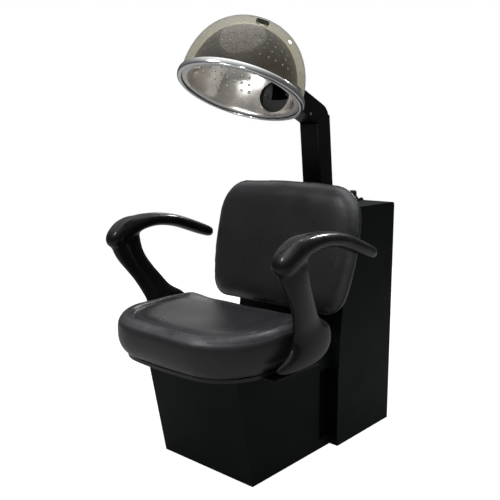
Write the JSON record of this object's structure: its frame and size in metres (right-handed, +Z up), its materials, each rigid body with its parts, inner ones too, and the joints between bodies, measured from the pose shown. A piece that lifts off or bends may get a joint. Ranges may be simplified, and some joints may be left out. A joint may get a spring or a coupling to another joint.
{
  "type": "hood hair dryer chair",
  "caption": "Salon dryer chair: upholstered armchair on a box base, joined to a rear cabinet whose leaning duct post carries a tilting see-through dryer hood.",
  "frame": {"origin": "middle of the dryer cabinet's underside, on the floor", "axes": "+Z up, the sitter faces -Y, +X to the sitter's left"},
  "size_m": [0.74, 0.9009, 1.339],
  "materials": {
    "black_laminate": "very dark green-black laminate on board, low sheen",
    "black_vinyl": "black upholstery vinyl, semi-gloss, fine grain",
    "faced_plywood": "plywood faced with black vinyl",
    "black_urethane": "moulded black urethane skin, glossy",
    "black_steel": "black powder coat",
    "smoked_acrylic": "clear smoked bronze acrylic, polished",
    "polished_liner": "polished spun metal",
    "chrome_trim": "bright chrome",
    "black_rubber": "moulded rubber",
    "black_plastic": "fine textured moulding",
    "zinc_steel": "zinc plated",
    "galvanised_sheet": "galvanised sheet",
    "motor_casting": "enamelled casting",
    "mica_board": "pressed mica",
    "filter_foam": "open foam"
  },
  "bodies": {
    "root": {"back_board": "faced_plywood", "back_bolts": "zinc_steel", "back_bracket": "black_steel", "back_cushion": "black_vinyl", "base_deck": "black_laminate", "base_floor": "black_laminate", "base_front": "black_laminate", "base_left_side": "black_laminate", "base_right_side": "black_laminate", "blower_cradle": "black_steel", "blower_motor": "motor_casting", "blower_scroll": "galvanised_sheet", "blower_shelf": "black_laminate", "cabinet_back": "black_laminate", "cabinet_floor": "black_laminate", "cabinet_front_lower": "black_laminate", "cabinet_front_upper": "black_laminate", "cabinet_left_side": "black_laminate", "cabinet_right_side": "black_laminate", "cabinet_screws": "zinc_steel", "cabinet_top": "black_laminate", "control_plate": "black_steel", "duct_post": "black_steel", "friction_washers": "black_plastic", "heat_body": "black_plastic", "heater_coil": "zinc_steel", "heater_duct": "galvanised_sheet", "heater_frame": "mica_board", "hinge_pin": "black_steel", "intake_filter": "filter_foam", "joining_bolts": "black_steel", "joining_plates": "black_steel", "left_arm": "black_urethane", "post_flange": "black_steel", "power_inlet": "black_plastic", "right_arm": "black_urethane", "seat_bolts": "zinc_steel", "seat_cushion": "black_vinyl", "seat_pan": "faced_plywood", "service_cover": "black_steel", "terminal_block": "black_plastic", "thermal_cutout": "black_plastic", "timer_body": "black_plastic"},
    "hood": {"outer_shell": "smoked_acrylic", "inner_liner": "polished_liner", "rim_ring": "chrome_trim", "hood_gaskets": "black_rubber", "vent_grommet": "black_rubber", "inlet_box": "black_plastic", "elbow_duct": "black_steel", "hood_screws": "zinc_steel", "elbow_spacer": "black_steel", "elbow_screws": "chrome_trim"},
    "timer": {"timer_knob": "black_plastic", "timer_stem": "zinc_steel"},
    "heat_selector": {"heat_knob": "black_plastic", "heat_stem": "zinc_steel"},
    "rotor": {"impeller": "black_plastic", "motor_shaft": "zinc_steel"}
  },
  "joints": [
    {"name": "hood_tilt", "type": "hinge", "parent": "root", "child": "hood", "pos_m": [0, -0.03691, 1.04249], "axis": [-1, 0, 0], "range_deg": [-15, 45]},
    {"name": "timer_turn", "type": "hinge", "parent": "root", "child": "timer", "pos_m": [0.076, 0.114, 0.779], "axis": [0, 0, -1], "range_deg": [0, 300]},
    {"name": "heat_turn", "type": "hinge", "parent": "root", "child": "heat_selector", "pos_m": [-0.076, 0.114, 0.779], "axis": [0, 0, -1], "range_deg": [0, 120]},
    {"name": "rotor_spin", "type": "hinge", "parent": "root", "child": "rotor", "pos_m": [0, -0.02101, 0.556], "axis": [1, 0, 0], "continuous": true}
  ]
}
